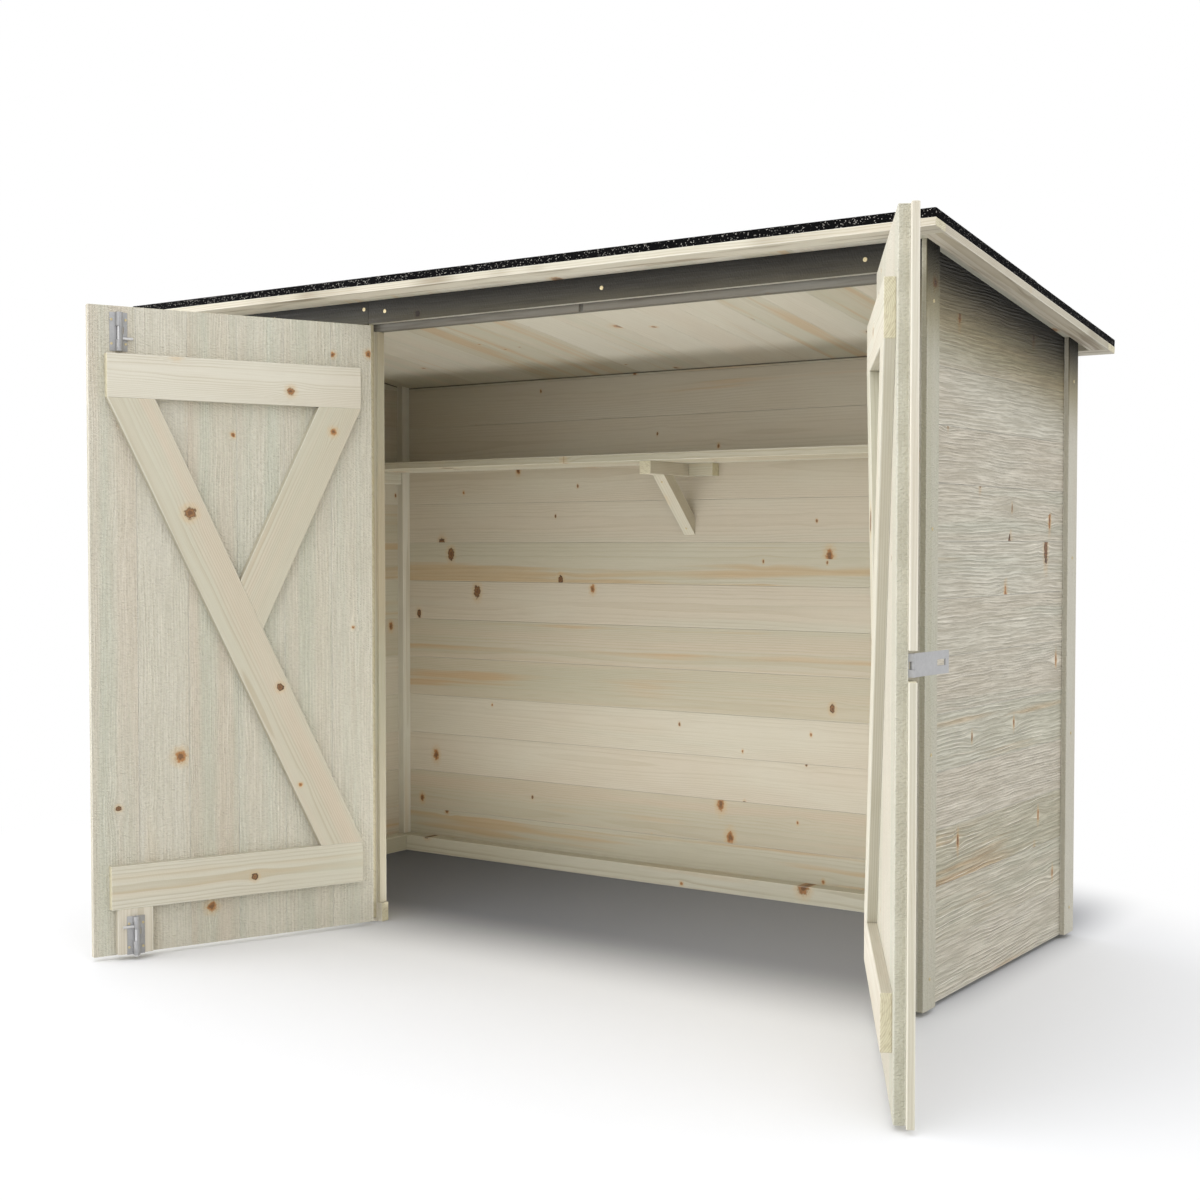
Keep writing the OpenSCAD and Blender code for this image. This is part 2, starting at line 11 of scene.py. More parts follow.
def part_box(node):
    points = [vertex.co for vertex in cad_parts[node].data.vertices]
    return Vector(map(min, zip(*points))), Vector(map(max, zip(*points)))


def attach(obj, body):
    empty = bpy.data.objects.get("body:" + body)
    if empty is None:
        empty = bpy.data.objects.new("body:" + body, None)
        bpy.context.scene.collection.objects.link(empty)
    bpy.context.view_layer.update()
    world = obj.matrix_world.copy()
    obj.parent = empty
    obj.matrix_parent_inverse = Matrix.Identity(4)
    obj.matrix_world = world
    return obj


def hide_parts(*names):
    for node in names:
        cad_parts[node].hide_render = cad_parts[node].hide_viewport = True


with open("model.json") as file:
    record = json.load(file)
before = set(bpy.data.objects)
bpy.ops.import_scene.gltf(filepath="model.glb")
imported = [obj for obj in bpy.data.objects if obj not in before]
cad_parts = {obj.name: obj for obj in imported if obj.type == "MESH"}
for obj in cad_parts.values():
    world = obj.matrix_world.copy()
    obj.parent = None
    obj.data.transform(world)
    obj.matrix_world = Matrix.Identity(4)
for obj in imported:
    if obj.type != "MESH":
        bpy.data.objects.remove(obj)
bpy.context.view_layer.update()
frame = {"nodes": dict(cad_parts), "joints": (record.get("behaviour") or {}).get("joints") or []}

X = Vector((1, 0, 0))
Y = Vector((0, 1, 0))
Z = Vector((0, 0, 1))

# Joinery, in metres
COURSE = 0.113           # cover width of the wall boards
CEILING_COURSE = 0.114   # cover width of the roof boards
CEILING_START = -0.384   # a joint between two roof boards
DOOR_JOINTS = (0.103, 0.2195, 0.332, 0.447, 0.561)   # joints of a door's boards from its hinge edge
JOINT_GAP = 0.0005       # open joint at the face of two boards
ARRIS = 0.0012           # eased edge of a planed timber
BOARD_ARRIS = 0.0006     # eased edge of a board
NOTCH_ROOM = 0.0003      # clearance of the shelf around a post
SLOPE_GAP = 0.00005      # clearance under the roof boards
FELT_FOLD = 0.004        # outer radius of the felt's folds
FELT = 0.003             # thickness of the felt
LAP_STEP = 0.002         # run of the step where one sheet of felt laps the next
LAP_DROP = 0.0012        # height of that step
REBATE_WIDTH = 0.013     # rebate for the cover strip in the left door's free edge
REBATE_DEPTH = 0.005
BOLT_PLATE = 0.0015      # thickness of a bolt's back plate
TOP_WINDOW = (0.024, 0.054)      # the window in the top bolt's barrel, from the plate's foot
BOTTOM_WINDOW = (0.030, 0.056)
HINGE_LEAF = 0.0025      # thickness of a hinge strap
HINGE_PLATE = 0.036      # width of a hinge's plate
RELIEF = 0.0012          # depth of a relief of 1 in the wood finishes
EAVES_SHADE_REACH = 0.30        # how far below the roof the painted shade under the overhang reaches


# ---------------------------------------------------------------- the CAD frame's places

def solids(node, place=Matrix()):
    """The lowest and highest corner of each separate solid of a CAD node, in a place's own frame."""
    mesh = bmesh.new()
    mesh.from_mesh(frame["nodes"][node].data)
    bmesh.ops.remove_doubles(mesh, verts=mesh.verts, dist=1e-5)
    inward = place.inverted()
    left = set(mesh.verts)
    found = []
    for start in mesh.verts:
        if start not in left:
            continue
        left.discard(start)
        solid = [start]
        for vertex in solid:
            for edge in vertex.link_edges:
                other = edge.other_vert(vertex)
                if other in left:
                    left.discard(other)
                    solid.append(other)
        points = [inward @ v.co for v in solid]
        low = Vector([min(p[i] for p in points) for i in range(3)])
        high = Vector([max(p[i] for p in points) for i in range(3)])
        found.append((low, high))
    mesh.free()
    return sorted(found, key=lambda box: [round(v, 4) for v in box[0] + box[1]])


def roof_place():
    """The roof's own frame: y down the slope, z = 0 the underside of its boards."""
    corners = [v.co for v in frame["nodes"]["roof_boards"].data.vertices]
    front = min(corners, key=lambda c: c.y)
    back = min(corners, key=lambda c: c.z)
    pitch = math.atan2(front.z - back.z, back.y - front.y)
    return Matrix.Translation((0, front.y, front.z)) @ Matrix.Rotation(-pitch, 4, "X")


def door_place(joint_name):
    """A door's own frame at its pin, with x along the door and y from its outer face to its inner."""
    joint = next(j for j in frame["joints"] if j["name"] == joint_name)
    closed = math.radians(joint["range_deg"][0]) * joint["axis"][2]
    x, y, _ = joint["pos_m"]
    return Matrix.Translation((x, y, 0)) @ Matrix.Rotation(-closed, 4, "Z")


HERE = Matrix()
ROOF = roof_place()
LEFT_DOOR = door_place("left_door_hinge")
RIGHT_DOOR = door_place("right_door_hinge")
UNDER_ROOF = (ROOF.translation - SLOPE_GAP * Z, ROOF.to_3x3() @ Z)
MIDDLE = (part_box("back_wall")[0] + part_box("right_stile")[1]) / 2
MIDDLE.x = 0


# ---------------------------------------------------------------- work on a piece

def pick(*pieces):
    """Leaves only these pieces selected, the first one active."""
    bpy.ops.object.select_all(action="DESELECT")
    for piece in pieces:
        piece.select_set(True)
    bpy.context.view_layer.objects.active = pieces[0]


def settle(piece, place=HERE):
    """Brings a piece from a place's own frame to its spot, with that spot in its mesh."""
    pick(piece)
    piece.matrix_world = place @ piece.matrix_world
    bpy.ops.object.transform_apply(location=True, rotation=True, scale=True)


def block(low, high):
    """A cube set to the size and place between two corners."""
    bpy.ops.object.select_all(action="DESELECT")
    low, high = Vector(low), Vector(high)
    bpy.ops.mesh.primitive_cube_add(size=1, location=(low + high) / 2, scale=high - low)
    bpy.ops.object.transform_apply(location=True, rotation=True, scale=True)
    return bpy.context.object


def saw(piece, point, normal):
    """Saws off what lies beyond a plane."""
    pick(piece)
    bpy.ops.object.mode_set(mode="EDIT")
    bpy.ops.mesh.select_all(action="SELECT")
    bpy.ops.mesh.bisect(plane_co=point, plane_no=normal, use_fill=True, clear_outer=True)
    bpy.ops.object.mode_set(mode="OBJECT")


def notch(piece, low, high):
    """Cuts the space between two corners out of a piece."""
    cutter = block(low, high)
    pick(piece)
    cut = piece.modifiers.new("notch", "BOOLEAN")
    cut.operation = "DIFFERENCE"
    cut.solver = "EXACT"
    cut.object = cutter
    bpy.ops.object.modifier_apply(modifier=cut.name)
    bpy.data.objects.remove(cutter)


def ease(piece, width):
    """Eases the sharp edges of a piece."""
    pick(piece)
    bevel = piece.modifiers.new("arris", "BEVEL")
    bevel.width = width
    bevel.segments = 2
    bevel.limit_method = "ANGLE"
    bevel.angle_limit = math.radians(30)
    bpy.ops.object.modifier_apply(modifier=bevel.name)


def select_faces(piece, chosen):
    """In edit mode, selects the faces for which chosen(face) is true."""
    bpy.ops.mesh.select_mode(type="FACE")
    bpy.ops.mesh.select_all(action="DESELECT")
    mesh = bmesh.from_edit_mesh(piece.data)
    for face in mesh.faces:
        if chosen(face):
            face.select_set(True)
    bmesh.update_edit_mesh(piece.data)


def tongue(piece, across, outward, thickness):
    """Grows a low tongue on a board's upper edge that closes the joint to the next board."""
    pick(piece)
    bpy.ops.object.mode_set(mode="EDIT")
    middle = sum((v.co.dot(outward) for v in piece.data.vertices)) / len(piece.data.vertices)
    for side in (-1, 1):
        bpy.ops.mesh.select_all(action="SELECT")
        bpy.ops.mesh.bisect(plane_co=outward * (middle + side * thickness / 6), plane_no=outward)
    bpy.ops.object.mode_set(mode="OBJECT")
    bpy.ops.object.mode_set(mode="EDIT")
    top = max(v.co.dot(across) for v in piece.data.vertices)
    select_faces(piece, lambda face: (
        face.normal.dot(across) > 0.99
        and face.calc_center_median().dot(across) > top - 1e-4
        and abs(face.calc_center_median().dot(outward) - middle) < thickness / 6
    ))
    bpy.ops.mesh.extrude_region_move(TRANSFORM_OT_translate={"value": across * JOINT_GAP})
    bpy.ops.object.mode_set(mode="OBJECT")


def lay_grain(piece, along, outward, luck):
    """Writes on a timber how its grain runs, its size, and its own luck.

    The grain is the distance along from one end, across from the middle, and in from the outer face."""
    across = outward.cross(along)
    points = [(v.co.dot(along), v.co.dot(across), -v.co.dot(outward)) for v in piece.data.vertices]
    low = [min(p[i] for p in points) for i in range(3)]
    high = [max(p[i] for p in points) for i in range(3)]
    zero = Vector((low[0], (low[1] + high[1]) / 2, low[2]))
    size = Vector(high) - Vector(low)
    lot = Vector((luck.random(), luck.random(), luck.random()))
    for name in ("grain", "size", "lot"):
        if name not in piece.data.attributes:
            piece.data.attributes.new(name, "FLOAT_VECTOR", "POINT")
    for index, point in enumerate(points):
        piece.data.attributes["grain"].data[index].vector = Vector(point) - zero
        piece.data.attributes["size"].data[index].vector = size
        piece.data.attributes["lot"].data[index].vector = lot


def join_up(pieces):
    """Joins pieces into one."""
    pick(*pieces)
    if len(pieces) > 1:
        bpy.ops.object.join()
    return pieces[0]


def fix(piece, name, body, slot, material, *nodes):
    """Names a finished piece, gives it its finish and hangs it on its body."""
    piece.name = name
    piece.data.name = name
    piece.data.materials.clear()
    piece.data.materials.append(material)
    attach(piece, body)
    if nodes:
        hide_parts(*nodes)
    return piece


# ---------------------------------------------------------------- timbers

def lie_of(low, high):
    """The grain's direction and the outer side of a timber: its longest and its thinnest way."""
    size = high - low
    order = sorted(range(3), key=lambda i: size[i])
    along = (X, Y, Z)[order[2]]
    outward = (X, Y, Z)[order[0]]
    away = ((low + high) / 2 - MIDDLE).dot(outward)
    return along, outward if away >= 0 else -outward


def timber(low, high, luck, place=HERE, cuts=(), outward=None):
    """One planed timber between two corners of a place, sawn at the planes in cuts."""
    along, away = lie_of(low, high)
    piece = block(low, high)
    for point, normal in cuts:
        saw(piece, point, normal)
    ease(piece, ARRIS)
    lay_grain(piece, along, outward or away, luck)
    settle(piece, place)
    return piece


def timbers(node, body, material, place=HERE, cuts=(), outward=None):
    """The plain timbers of one CAD node, as one piece."""
    luck = random.Random(node)
    pieces = [timber(low, high, luck, place, cuts, outward=outward) for low, high in solids(node, place)]
    return fix(join_up(pieces), node + "_timber", body, "softwood", material, node)


def merged_copy(node):
    """A copy of a CAD node with its doubles merged and its flat faces whole."""
    piece = bpy.data.objects.new(node, frame["nodes"][node].data.copy())
    bpy.context.scene.collection.objects.link(piece)
    pick(piece)
    bpy.ops.object.mode_set(mode="EDIT")
    bpy.ops.mesh.select_all(action="SELECT")
    bpy.ops.mesh.remove_doubles(threshold=1e-5)
    bpy.ops.mesh.dissolve_limited(angle_limit=math.radians(1))
    bpy.ops.object.mode_set(mode="OBJECT")
    return piece


def carved(node, body, material, along, outward):
    """Timbers with rebates or laps: each solid of a CAD node with its edges eased."""
    luck = random.Random(node)
    merged_copy(node)
    bpy.ops.mesh.separate(type="LOOSE")
    pieces = sorted(bpy.context.selected_objects, key=lambda o: round(o.data.vertices[0].co.x, 4))
    for part in pieces:
        ease(part, ARRIS)
        lay_grain(part, along, outward, luck)
    return fix(join_up(pieces), node + "_timber", body, "softwood", material, node)


def boards(node, body, material, across, outward, joints, place=HERE, cuts=(), rebate=None):
    """A boarded face between two corners: boards side by side with a narrow open joint and a tongue."""
    luck = random.Random(node)
    low, high = solids(node, place)[0]
    axis = max(range(3), key=lambda i: abs(across[i]))
    thickness = abs((high - low).dot(outward))
    inside = [joint for joint in joints if low[axis] + 0.004 < joint < high[axis] - 0.003]
    edges = [low[axis], *inside, high[axis]]
    pieces = []
    for start, end in zip(edges, edges[1:]):
        board_low, board_high = low.copy(), high.copy()
        board_low[axis] = start
        board_high[axis] = end if end == edges[-1] else end - JOINT_GAP
        piece = block(board_low, board_high)
        for point, normal in cuts:
            saw(piece, point, normal)
        if rebate:
            notch(piece, *rebate)
        ease(piece, BOARD_ARRIS)
        if end != edges[-1] and not cuts_reach(board_low, board_high, cuts):
            tongue(piece, across, outward, thickness)
        along = max((X, Y, Z), key=lambda a: 0 if a is across or abs(a.dot(outward)) > 0.5 else 1)
        lay_grain(piece, along, outward, luck)
        settle(piece, place)
        pieces.append(piece)
    return fix(join_up(pieces), node + "_boards", body, "softwood", material, node)


def cuts_reach(low, high, cuts):
    """Whether a sawn plane comes down to a board's upper edge."""
    corners = [Vector((x, y, high.z)) for x in (low.x, high.x) for y in (low.y, high.y)]
    return any((corner - point).dot(normal) > -1e-4 for point, normal in cuts for corner in corners)


def courses():
    """Heights of the joints between wall boards, from the foot of the back wall."""
    foot = solids("back_wall")[0][0].z
    return [foot + COURSE * n for n in range(1, 14)]


# ---------------------------------------------------------------- finishes

def shade(red, green, blue):
    """A colour from its 0 to 255 display values."""
    def linear(value):
        value /= 255
        return value / 12.92 if value <= 0.04045 else ((value + 0.055) / 1.055) ** 2.4
    return (linear(red), linear(green), linear(blue), 1)


class Wire:
    """A node's output. An expression on it adds Math nodes."""

    def __init__(self, finish, socket):
        self.finish = finish
        self.socket = socket

    def math(self, operation, *others):
        """A Math node on this value and others."""
        return self.finish.node("Math", {"operation": operation}, dict(enumerate((self, *others))))

    def __add__(self, other):
        return self.math("ADD", other)

    def __sub__(self, other):
        return self.math("SUBTRACT", other)

    def __mul__(self, other):
        return self.math("MULTIPLY", other)

    def __truediv__(self, other):
        return self.math("DIVIDE", other)

    def __pow__(self, other):
        return self.math("POWER", other)

    def __rsub__(self, other):
        return self * -1 + other

    __radd__ = __add__
    __rmul__ = __mul__

    def fade(self, start, end):
        """0 at start, 1 at end, smooth between them."""
        settings = {"interpolation_type": "SMOOTHSTEP"}
        return self.finish.node("MapRange", settings, {"Value": self, "From Min": start, "From Max": end})

    def bell(self, width):
        """1 where the value is 0, falling off over a width."""
        return (self * self * (-1 / width ** 2)).math("EXPONENT")


class Finish:
    """A material that is built up from nodes."""

    def __init__(self, name):
        self.material = bpy.data.materials.new(name)
        self.material.use_nodes = True
        self.nodes = self.material.node_tree.nodes
        self.links = self.material.node_tree.links
        self.nodes.clear()
        self.shader = self.nodes.new("ShaderNodeBsdfPrincipled")
        output = self.nodes.new("ShaderNodeOutputMaterial")
        self.links.new(self.shader.outputs[0], output.inputs[0])

    def node(self, kind, settings, sockets, out=0):
        """Adds a node: its settings first, then the values or links of its sockets."""
        node = self.nodes.new("ShaderNode" + kind)
        for key, value in settings.items():
            setattr(node, key, value)
        for key, value in sockets.items():
            if isinstance(value, Wire):
                self.links.new(value.socket, node.inputs[key])
            else:
                node.inputs[key].default_value = value
        return Wire(self, node.outputs[out])

    def split(self, vector):
        """The x, y and z of a vector."""
        parts = self.nodes.new("ShaderNodeSeparateXYZ")
        self.links.new(vector.socket, parts.inputs[0])
        return [Wire(self, output) for output in parts.outputs]

    def point(self, x, y):
        """A place in the plane from its two values."""
        return self.node("CombineXYZ", {}, {0: x, 1: y})

    def flat_noise(self, x, y, detail=1.0, roughness=0.5):
        """Noise around 0, about -0.5 to 0.5, from two values."""
        sockets = {"Vector": self.point(x, y), "Scale": 1.0, "Detail": detail, "Roughness": roughness}
        return self.node("TexNoise", {"noise_dimensions": "2D"}, sockets) - 0.5

    def mix(self, factor, first, second, blend="MIX"):
        """A blend of two colours."""
        settings = {"data_type": "RGBA", "blend_type": blend}
        return self.node("Mix", settings, {0: factor, 6: first, 7: second}, 2)

    def gloss(self, base, roughness, metallic=0.0):
        """Gives the surface its colour and its gloss."""
        for key, value in (("Base Color", base), ("Roughness", roughness), ("Metallic", metallic)):
            if isinstance(value, Wire):
                self.links.new(value.socket, self.shader.inputs[key])
            else:
                self.shader.inputs[key].default_value = value

    def relief(self, height, depth):
        """Bumps the surface by a height of 0 to 1 times a depth in metres."""
        bump = self.node("Bump", {}, {"Strength": 1.0, "Distance": depth, "Height": height})
        self.links.new(bump.socket, self.shader.inputs["Normal"])


CREAM = shade(208, 204, 190)
PINKISH = shade(206, 198, 183)
GREENISH = shade(198, 201, 187)
PALE = shade(216, 214, 204)
LATE_WOOD = shade(170, 158, 130)
AMBER = shade(206, 160, 98)
KNOT_CORE = shade(170, 120, 70)
KNOT_DARK = shade(104, 70, 44)
KNOT_RIM = shade(72, 48, 32)
HALO = shade(200, 170, 124)
END_GRAIN = shade(206, 200, 170)
POCKET = shade(116, 98, 72)
# dust, which also serves as painted shade in the hollows of the relief
DUST_AND_HOLLOW_SHADE = shade(132, 124, 98)
# weathered pale, which also serves as painted light on ridge crests and on paler parts
WHITENED_AND_PAINTED_LIGHT = shade(236, 230, 214)
WARM_LOT = shade(238, 224, 210)
COOL_LOT = shade(226, 230, 218)
# painted shade for the inside faces of the wall boards
INSIDE_SHADE = shade(236, 233, 228)
# painted shadow line at the inside top of the walls, under the roof boards
SEAM_SHADOW = shade(70, 60, 46)
# painted shade under the roof's overhang, its warm tint, and the darker painted shadow right under the
# roof's edge
EAVES_SHADE = shade(56, 49, 26)
EAVES_SHADE_TINT = shade(236, 228, 200)
TOP_SHADOW = shade(46, 40, 24)
KNOT_CELL = (0.21, 0.085)   # grid that the knots lie in, along and across the grain


class Grain:
    """Where a spot lies in its board, and the board's own luck."""

    def __init__(self, finish):
        def vector(name):
            return finish.split(finish.node("Attribute", {"attribute_name": name}, {}, 1))

        self.along, self.across, self.deep = vector("grain")
        self.length, self.width, self.thick = vector("size")
        self.one, self.two, self.three = vector("lot")
        # no two boards are cut from the same place of the pattern
        self.far_along = self.along + self.one * 17.3
        self.far_across = self.across + self.two * 9.1


class Knots:
    """Knots, one in some of the cells of a loose grid. size stretches them along and across the grain."""

    def __init__(self, finish, grain, share, size, rounder):
        cell_along, cell_across = KNOT_CELL
        place = finish.point(grain.far_along / cell_along, grain.far_across / cell_across)
        colour, spot = (
            finish.node("TexVoronoi", {"voronoi_dimensions": "2D"}, {"Vector": place, "Scale": 1.0}, out)
            for out in (1, 2))
        chance, girth, self.kind = finish.split(colour)
        spot_along, spot_across, _ = finish.split(spot)
        self.there = chance.math("LESS_THAN", share)
        self.off_along = (grain.far_along / cell_along - spot_along) * cell_along
        self.off_across = (grain.far_across / cell_across - spot_across) * cell_across
        girth = girth * girth * girth * 0.0105 + 0.0030
        self.ragged = finish.flat_noise(grain.far_along * 120, grain.far_across * 120, 2.0, 0.6) * 1.2
        along = self.off_along / (girth * size[0])
        across = self.off_across / (girth * size[1])
        across = across * (grain.deep.fade(0.008, 0.012) * rounder * 0.9 + 1.0)
        self.reach = (along * along + across * across).math("SQRT") + self.ragged
        self.body = self.reach.fade(1.3, 0.8) * self.there
        self.rim = (self.reach - 0.98).bell(0.22) * self.there * self.kind.fade(0.4, 0.9)
        self.halo = self.reach.fade(2.8, 0.9) * self.there

    def paint(self, finish, base):
        """The wood's colour with the knots' halo, body and rim on it."""
        base = finish.mix(self.halo * 0.5, base, HALO)
        swirl = (self.reach * 5.0 + self.ragged * 3.0).math("SINE") * 0.5 + 0.5
        heart = self.reach.fade(0.9, 0.1) * 0.7 + swirl * 0.4 + (self.kind - 0.5) * 0.5
        base = finish.mix(self.body * 0.95, base, finish.mix(heart, KNOT_CORE, KNOT_DARK))
        return finish.mix(self.rim, base, KNOT_RIM)


class Rings:
    """Yearly rings around a pith beside the board, parting around the knots."""

    def __init__(self, finish, grain, knots):
        parting = (knots.off_along / 0.034).bell(1.0) * (knots.off_across / 0.016).bell(1.0) * knots.there
        lot = grain.two * 30
        wander = finish.flat_noise(grain.far_along * 1.3, grain.far_across * 5.0 + lot)
        self.ripple = finish.flat_noise(grain.far_along * 9.0, grain.far_across * 26.0 + lot)
        bent = grain.across - knots.off_across * parting * 0.85
        self.bent = bent + wander * 0.016 + self.ripple * 0.0035
        beside = self.bent - (grain.one - 0.5) * 0.09
        below = grain.deep + (grain.three * 0.055 + 0.022)
        radius = (beside * beside + below * below).math("SQRT") + wander * 0.006
        ring = (radius / (grain.two * 0.0016 + 0.0030)).math("FRACT")
        self.late = ring.fade(0.45, 0.94) * ring.fade(1.0, 0.94)
        self.fibre = finish.flat_noise(grain.far_along * 9.0, grain.far_across * 520.0 + grain.deep * 300)


def clear_wood(finish, grain, rings, lines, amber):
    """Clear wood: cloudy tones, late wood lines, amber streaks and fibres."""
    streak = finish.flat_noise(grain.far_along * 0.7, rings.bent * 26.0 + grain.one * 40, 2.0)
    cloud = finish.flat_noise(grain.far_along * 2.2, rings.bent * 9.0 + grain.three * 40)
    base = finish.mix((cloud * 1.5 + grain.three).fade(0.05, 0.95) * 0.8, CREAM, PINKISH)
    base = finish.mix((streak * 1.7 + grain.one).fade(0.45, 1.3) * 0.8, base, GREENISH)
    base = finish.mix((cloud * 1.2 + grain.two).fade(0.5, 1.4) * 0.7, base, PALE)
    patchy = (cloud + 0.75).fade(0.2, 1.0)
    base = finish.mix(rings.late * patchy * (lines * 0.85), base, LATE_WOOD)
    base = finish.mix((streak * 2.6 + cloud + grain.two - 0.95).fade(0.0, 0.5) * amber, base, AMBER)
    return finish.mix((rings.fibre + 0.12).fade(0.0, 0.5) * 0.16, base, LATE_WOOD)


def ridged(finish, grain, rings, base, depth, reach, pitch):
    """Weathered ridges along the grain, on the outer face: their height, and their colour, with dust and
    painted shade in the valleys and a weathered pale with painted light on the crests.
    """
    outer = grain.deep.fade(reach, reach * 0.5)
    bow = finish.flat_noise(grain.far_along * 4.5, grain.far_across * 7.0 + grain.three * 30)
    bent = rings.bent + grain.far_across - grain.across + bow * 0.009
    phase = (bent + rings.ripple * 0.003) * (grain.three * 0.5 + 0.75) * (2 * math.pi / pitch)
    swell = finish.flat_noise(grain.far_along * 4.0, grain.far_across * 24.0 + grain.one * 9)
    crest = finish.flat_noise(grain.far_along * 7.0, bent * 190.0 + grain.one * 9, 2.0) + 0.5
    fine = finish.flat_noise(grain.far_along * 24.0, bent * 420.0, 2.0)
    swing = phase.math("SINE") * 0.5 + 0.5
    wave = swing * swing * (swell + 0.5).fade(0.1, 0.9) * 0.8 + crest.fade(0.25, 0.8) * 0.6 + fine * 0.7
    # dust and painted shade in the valleys
    base = finish.mix((0.75 - wave).fade(0.0, 0.7) * outer * (depth * 0.2), base, DUST_AND_HOLLOW_SHADE, "MULTIPLY")
    # weathered pale and painted light on the crests
    base = finish.mix((wave - 0.75).fade(0.0, 0.4) * outer * (depth * 0.35), base, WHITENED_AND_PAINTED_LIGHT)
    return wave * outer * depth, base


def sawn_face(finish, grain, base, depth):
    """The fuzz a saw leaves: its height, and painted shade in its hollows."""
    fuzz = finish.flat_noise(grain.far_along * 300.0 + grain.far_across * 90.0,
                             grain.far_across * 120.0 + grain.deep * 190, 1.0, 0.6)
    # darker in the fuzz's hollows: painted shade
    return fuzz * depth, finish.mix(fuzz.fade(0.12, -0.25) * (depth * 0.06), base, DUST_AND_HOLLOW_SHADE, "MULTIPLY")


def cut_ends(finish, grain, rings, base):
    """End grain with its saw marks."""
    end = grain.along.fade(0.0006, 0.0002).math("MAXIMUM", (grain.length - grain.along).fade(0.0006, 0.0002))
    base = finish.mix(end * 0.75, base, END_GRAIN)
    saw_mark = finish.flat_noise(grain.across * 160.0 + grain.deep * 260.0,
                                 grain.deep * 90.0 - grain.across * 40.0 + grain.one * 9)
    return finish.mix(end * (rings.late * 0.4 + saw_mark.fade(-0.1, 0.3) * 0.5), base, LATE_WOOD)


def worn_edges(finish, grain, base, dusty):
    """Worn arrises, and dust in the joints."""
    to_side = grain.width * 0.5 - grain.across.math("ABSOLUTE")
    to_face = grain.deep.math("MINIMUM", grain.thick - grain.deep)
    worn = to_side.fade(0.0022, 0.0008) * to_face.fade(0.0022, 0.0008)
    base = finish.mix(worn * 0.35, base, PALE)
    joint = to_side.fade(0.0006, 0.0001) * to_face.fade(0.001, 0.003)
    return finish.mix(joint * dusty, base, DUST_AND_HOLLOW_SHADE)


def paint_eaves_shade(finish, grain, base, inner, strength):
    """Painted shade on the outer faces close under the roof, darkest at the top, and a painted shadow line
    on the inside faces right under the roof boards.
    """
    _, y, z = finish.split(finish.node("TexCoord", {}, {}, 3))
    slope = UNDER_ROOF[1].y / UNDER_ROOF[1].z
    below_roof = UNDER_ROOF[0].z - z - (y - UNDER_ROOF[0].y) * slope
    # painted shadow line on the inside faces, right under the roof boards
    seam = below_roof.fade(0.0045, 0.0015) * grain.deep.fade(0.008, 0.012)
    base = finish.mix(seam * inner * 0.9, base, SEAM_SHADOW, "MULTIPLY")
    # painted shade on the outer face, fading out below the roof, with a warm tint
    outer_face = grain.deep.fade(0.004, 0.001) * strength
    shaded = below_roof.fade(EAVES_SHADE_REACH, -0.04) ** 1.3 * outer_face
    base = finish.mix(shaded, base, EAVES_SHADE, "MULTIPLY")
    base = finish.mix(shaded.fade(0.0, 0.5), base, EAVES_SHADE_TINT, "MULTIPLY")
    # a darker painted shadow in the top 13 cm under the roof's edge
    shadowed = below_roof.fade(0.13, -0.01) * outer_face
    return finish.mix(shadowed, base, TOP_SHADOW, "MULTIPLY")


def softwood(name, lines=0.5, knots=0.3, knot_size=(1.0, 1.0), amber=0.2, variety=0.5, streaks=0.0,
             ridges=0.0, ridge_reach=0.004, ridge_pitch=0.0070, sawn=0.0, dusty=0.25,
             pale=0.0, stain_and_shade=None, inner=0.0, eaves=0.0):
    """Spruce. ridges and sawn give it a relief, with painted shade in its hollows; inner paints shade on its
    inside faces, and the shade under the roof's overhang is painted on its top.
    """
    finish = Finish(name)
    grain = Grain(finish)
    knot = Knots(finish, grain, knots, knot_size, inner)
    rings = Rings(finish, grain, knot)
    base = clear_wood(finish, grain, rings, lines, amber)
    if streaks:
        pocket = finish.flat_noise(grain.far_along * 3.0, rings.bent * 48.0 + grain.two * 50, 2.0, 0.65)
        base = finish.mix(pocket.fade(0.0, 0.22) * streaks, base, POCKET)
    height = rings.late * 0.10 + rings.fibre * 0.12
    base = finish.mix(grain.one.fade(0.5, 1.0) * variety, base, WARM_LOT, "MULTIPLY")
    base = finish.mix(grain.two.fade(0.5, 1.0) * variety, base, COOL_LOT, "MULTIPLY")
    if ridges:
        rise, base = ridged(finish, grain, rings, base, ridges, ridge_reach, ridge_pitch)
        height = height + rise
    if sawn:
        rise, base = sawn_face(finish, grain, base, sawn)
        height = height + rise
    base = knot.paint(finish, base)
    base = cut_ends(finish, grain, rings, base)
    base = worn_edges(finish, grain, base, dusty)
    # paler over the whole piece: painted light, as if the part stood in more light
    if pale:
        base = finish.mix(pale, base, WHITENED_AND_PAINTED_LIGHT)
    # a colour multiplied over the whole piece: a tint, and for the stop beam painted shade
    if stain_and_shade:
        base = finish.mix(1.0, base, shade(*stain_and_shade), "MULTIPLY")
    if inner:
        # the inside faces painted darker, as shade
        base = finish.mix(grain.deep.fade(0.012, 0.018) * inner, base, INSIDE_SHADE, "MULTIPLY")
    # painted shade under the roof's overhang
    if eaves:
        base = paint_eaves_shade(finish, grain, base, inner, eaves)
    finish.gloss(base, rings.fibre * 0.25 + rings.late * -0.08 + 0.72)
    finish.relief(height, RELIEF)
    return finish.material


